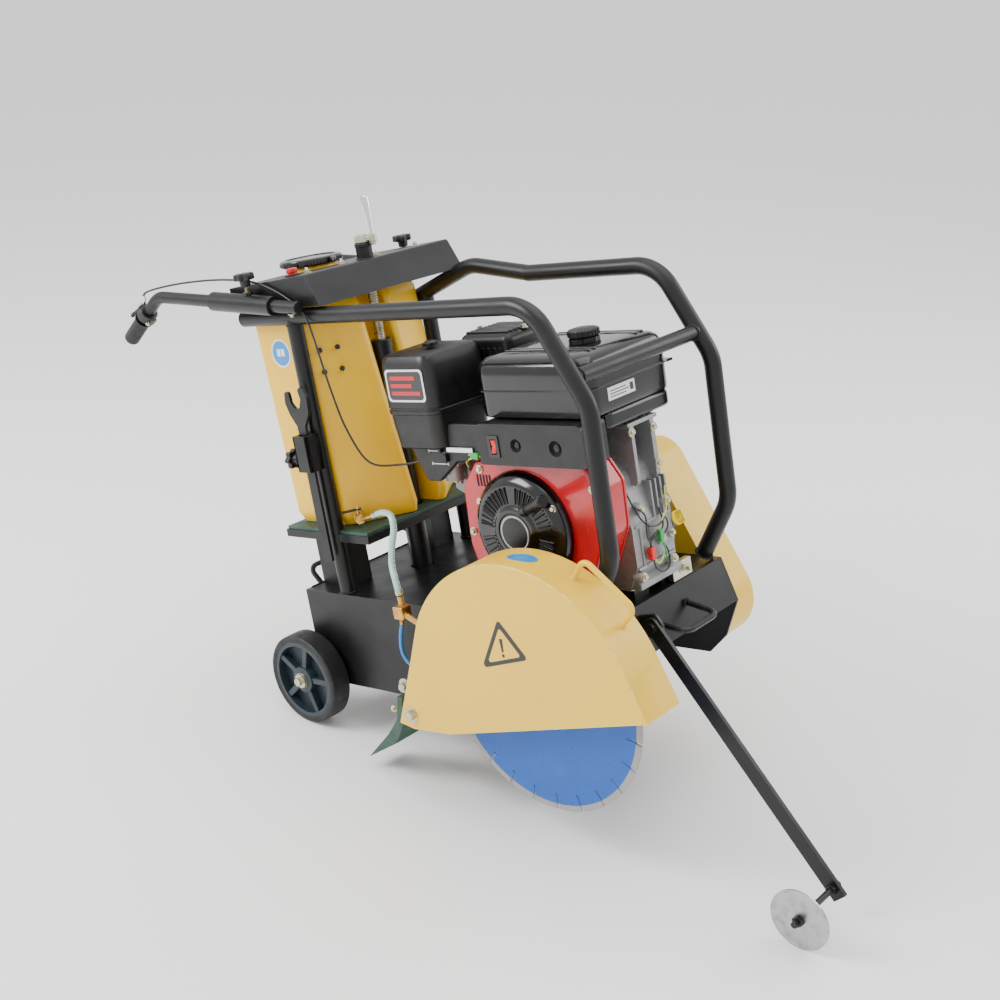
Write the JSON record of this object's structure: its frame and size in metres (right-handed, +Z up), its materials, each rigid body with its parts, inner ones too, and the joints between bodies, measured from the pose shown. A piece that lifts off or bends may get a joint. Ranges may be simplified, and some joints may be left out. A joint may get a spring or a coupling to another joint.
{
  "type": "walk-behind concrete saw",
  "caption": "Walk-behind concrete saw raised on its front wheels, with hinged blade guard, small engine, belt drive, water tank, screw lift and a swing-down guide arm.",
  "frame": {"origin": "on the ground, below the middle of the bounding box", "axes": "+X forward along the cut, +Y to the operator's left, +Z up"},
  "size_m": [1.8279, 0.632, 1.1038],
  "materials": {
    "black_paint": "satin black powder coat",
    "yellow_paint": "yellow powder coat",
    "yellow_plastic": "moulded yellow polyethylene",
    "black_plastic": "satin black plastic",
    "gloss_black": "gloss black",
    "red_paint": "gloss red",
    "red_plastic": "gloss red plastic",
    "cast_aluminium": "as-cast",
    "steel": "machined steel",
    "zinc": "zinc plated",
    "chrome": "chrome plated",
    "brass": "machined brass",
    "tyre_rubber": "black rubber",
    "rubber": "dark green rubber",
    "blade_steel": "blue lacquered steel core",
    "hose": "clear braided hose",
    "yellow_cap": "yellow plastic"
  },
  "bodies": {
    "chassis": {"base_frame": "black_paint", "roll_frame": "black_paint", "console": "black_paint", "handle_sleeve_right": "black_paint", "handle_sleeve_left": "black_paint", "rear_axle": "zinc", "arbor_housing": "cast_aluminium", "drive_belt": "tyre_rubber", "belt_cover": "yellow_paint", "water_tank": "yellow_plastic", "tank_tray": "black_paint", "tank_mat": "rubber", "outlet_valve": "brass", "water_hose": "hose", "engine_block": "cast_aluminium", "blower_housing": "red_paint", "recoil_cover": "gloss_black", "control_panel": "black_plastic", "fuel_tank": "gloss_black", "air_cleaner": "black_plastic", "carburettor": "cast_aluminium", "muffler": "black_paint"},
    "wheel_rear_right": {"wheel_rear_right": "tyre_rubber"},
    "wheel_rear_left": {"wheel_rear_left": "tyre_rubber"},
    "swing_frame": {"swing_frame": "black_paint"},
    "wheel_front_right": {"wheel_front_right": "tyre_rubber"},
    "wheel_front_left": {"wheel_front_left": "tyre_rubber"},
    "lift_sleeve": {"lift_sleeve": "black_paint"},
    "lift_crank": {"lift_crank": "zinc"},
    "crank_grip": {"crank_grip": "chrome"},
    "arbor": {"arbor_shaft": "steel", "saw_blade": "blade_steel", "outer_flange": "steel", "blade_pulley": "cast_aluminium"},
    "engine_output": {"engine_pulley": "cast_aluminium"},
    "blade_guard": {"blade_guard": "yellow_paint", "splash_flap": "rubber", "water_manifold": "brass"},
    "handlebar_right": {"handlebar_right": "black_paint", "grip_right": "black_plastic", "throttle_clamp": "black_plastic", "throttle_cable": "black_plastic"},
    "handlebar_left": {"handlebar_left": "black_paint", "grip_left": "black_plastic"},
    "throttle_lever": {"throttle_lever": "steel"},
    "handle_knob_right": {"handle_knob_right": "black_plastic"},
    "handle_knob_left": {"handle_knob_left": "black_plastic"},
    "holder_knob": {"holder_knob": "black_plastic"},
    "spanner": {"spanner": "black_paint"},
    "tank_cap": {"tank_cap": "black_plastic"},
    "fuel_cap": {"fuel_cap": "black_plastic"},
    "dipstick": {"dipstick": "yellow_cap"},
    "cleaner_knob": {"cleaner_knob": "black_plastic"},
    "valve_lever": {"valve_lever": "black_plastic"},
    "recoil_handle": {"recoil_handle": "black_plastic"},
    "engine_switch": {"engine_switch": "red_plastic"},
    "stop_switch": {"stop_switch": "red_plastic"},
    "choke_lever": {"choke_lever": "chrome"},
    "guide_arm": {"guide_arm": "black_paint"},
    "guide_disc": {"guide_disc": "steel"}
  },
  "joints": [
    {"name": "rear_wheel_right_spin", "type": "hinge", "parent": "chassis", "child": "wheel_rear_right", "pos_m": [-0.3401, -0.241, 0.1], "axis": [0, 1, 0], "continuous": true},
    {"name": "rear_wheel_left_spin", "type": "hinge", "parent": "chassis", "child": "wheel_rear_left", "pos_m": [-0.3401, 0.241, 0.1], "axis": [0, 1, 0], "continuous": true},
    {"name": "swing_frame_pivot", "type": "hinge", "parent": "chassis", "child": "swing_frame", "pos_m": [-0.08431, 0, 0.15671], "axis": [0, -1, 0], "range_deg": [0, 34]},
    {"name": "front_wheel_right_spin", "type": "hinge", "parent": "swing_frame", "child": "wheel_front_right", "pos_m": [0.2099, -0.1, 0.075], "axis": [0, 1, 0], "continuous": true},
    {"name": "front_wheel_left_spin", "type": "hinge", "parent": "swing_frame", "child": "wheel_front_left", "pos_m": [0.2099, 0.1, 0.075], "axis": [0, 1, 0], "continuous": true},
    {"name": "lift_sleeve_slide", "type": "slide", "parent": "chassis", "child": "lift_sleeve", "axis": [0.2164, 0, -0.9763], "range_m": [0, 0.0645]},
    {"name": "lift_crank_turn", "type": "hinge", "parent": "chassis", "child": "lift_crank", "pos_m": [-0.38181, 0, 1.01261], "axis": [-0.2164, 0, 0.9763], "range_deg": [0, 4635]},
    {"name": "crank_grip_spin", "type": "hinge", "parent": "lift_crank", "child": "crank_grip", "pos_m": [-0.35642, 0.006, 1.01823], "axis": [-0.2664, 0, 0.9639], "continuous": true},
    {"name": "arbor_spin", "type": "hinge", "parent": "chassis", "child": "arbor", "pos_m": [0.32848, -0.269, 0.32299], "axis": [0, 1, 0], "continuous": true},
    {"name": "engine_output_spin", "type": "hinge", "parent": "chassis", "child": "engine_output", "pos_m": [0.17882, 0.258, 0.56842], "axis": [0, 1, 0], "continuous": true},
    {"name": "blade_guard_hinge", "type": "hinge", "parent": "chassis", "child": "blade_guard", "pos_m": [0.04174, -0.269, 0.18875], "axis": [0, -1, 0], "range_deg": [0, 60], "deforming": ["water_hose"]},
    {"name": "handlebar_right_slide", "type": "slide", "parent": "chassis", "child": "handlebar_right", "axis": [-0.9914, 0, -0.1305], "range_m": [-0.1, 0.1], "deforming": ["throttle_cable"]},
    {"name": "handlebar_left_slide", "type": "slide", "parent": "chassis", "child": "handlebar_left", "axis": [-0.9914, 0, -0.1305], "range_m": [-0.1, 0.1]},
    {"name": "throttle_lever_turn", "type": "hinge", "parent": "handlebar_right", "child": "throttle_lever", "pos_m": [-0.84645, -0.227, 0.83112], "axis": [-0.7133, 0, 0.7009], "range_deg": [0, 50]},
    {"name": "handle_knob_right_turn", "type": "hinge", "parent": "chassis", "child": "handle_knob_right", "pos_m": [-0.48378, -0.227, 0.92395], "axis": [-0.2164, 0, 0.9763], "continuous": true},
    {"name": "handle_knob_left_turn", "type": "hinge", "parent": "chassis", "child": "handle_knob_left", "pos_m": [-0.48378, 0.227, 0.92395], "axis": [-0.2164, 0, 0.9763], "continuous": true},
    {"name": "holder_knob_turn", "type": "hinge", "parent": "chassis", "child": "holder_knob", "pos_m": [-0.34394, -0.2265, 0.60105], "axis": [-0.9763, 0, -0.2164], "continuous": true},
    {"name": "spanner_slide", "type": "slide", "parent": "chassis", "child": "spanner", "axis": [-0.2164, 0, 0.9763], "range_m": [0, 0.15]},
    {"name": "tank_cap_turn", "type": "hinge", "parent": "chassis", "child": "tank_cap", "pos_m": [-0.50671, -0.03, 0.94394], "axis": [-0.2164, 0, 0.9763], "continuous": true},
    {"name": "fuel_cap_turn", "type": "hinge", "parent": "chassis", "child": "fuel_cap", "pos_m": [0.1863, 0.02, 0.91352], "axis": [-0.2164, 0, 0.9763], "continuous": true},
    {"name": "dipstick_turn", "type": "hinge", "parent": "chassis", "child": "dipstick", "pos_m": [0.37405, 0.078, 0.57626], "axis": [0.808, 0, 0.5892], "continuous": true},
    {"name": "cleaner_knob_turn", "type": "hinge", "parent": "chassis", "child": "cleaner_knob", "pos_m": [-0.10344, -0.092, 0.85748], "axis": [-0.2164, 0, 0.9763], "continuous": true},
    {"name": "valve_lever_turn", "type": "hinge", "parent": "chassis", "child": "valve_lever", "pos_m": [-0.24929, -0.1662, 0.49475], "axis": [-0.2164, 0, 0.9763], "range_deg": [0, 90]},
    {"name": "recoil_handle_pull", "type": "slide", "parent": "chassis", "child": "recoil_handle", "axis": [0.7746, -0.3038, 0.5547], "range_m": [0, 0.4], "stiffness_N_per_m": 60},
    {"name": "engine_switch_rock", "type": "hinge", "parent": "chassis", "child": "engine_switch", "pos_m": [0.12022, -0.1555, 0.72648], "axis": [0.9763, 0, 0.2164], "range_deg": [-6, 6]},
    {"name": "stop_switch_press", "type": "slide", "parent": "chassis", "child": "stop_switch", "axis": [0.2164, 0, -0.9763], "range_m": [0, 0.003], "stiffness_N_per_m": 800},
    {"name": "choke_lever_turn", "type": "hinge", "parent": "chassis", "child": "choke_lever", "pos_m": [-0.01669, -0.122, 0.67411], "axis": [0, -1, 0], "range_deg": [0, 17]},
    {"name": "guide_arm_swing", "type": "hinge", "parent": "chassis", "child": "guide_arm", "pos_m": [0.4472, -0.09, 0.43433], "axis": [0, -1, 0], "range_deg": [0, 138]},
    {"name": "guide_disc_spin", "type": "hinge", "parent": "guide_arm", "child": "guide_disc", "pos_m": [0.85692, -0.206, 0.057], "axis": [0, 1, 0], "continuous": true}
  ],
  "couplings": [
    {"joint": "lift_sleeve_slide", "follows": "swing_frame_pivot", "m_per_rad": 0.10839},
    {"joint": "lift_crank_turn", "follows": "swing_frame_pivot", "ratio": 136.21},
    {"joint": "engine_output_spin", "follows": "arbor_spin", "ratio": 1.3333}
  ]
}
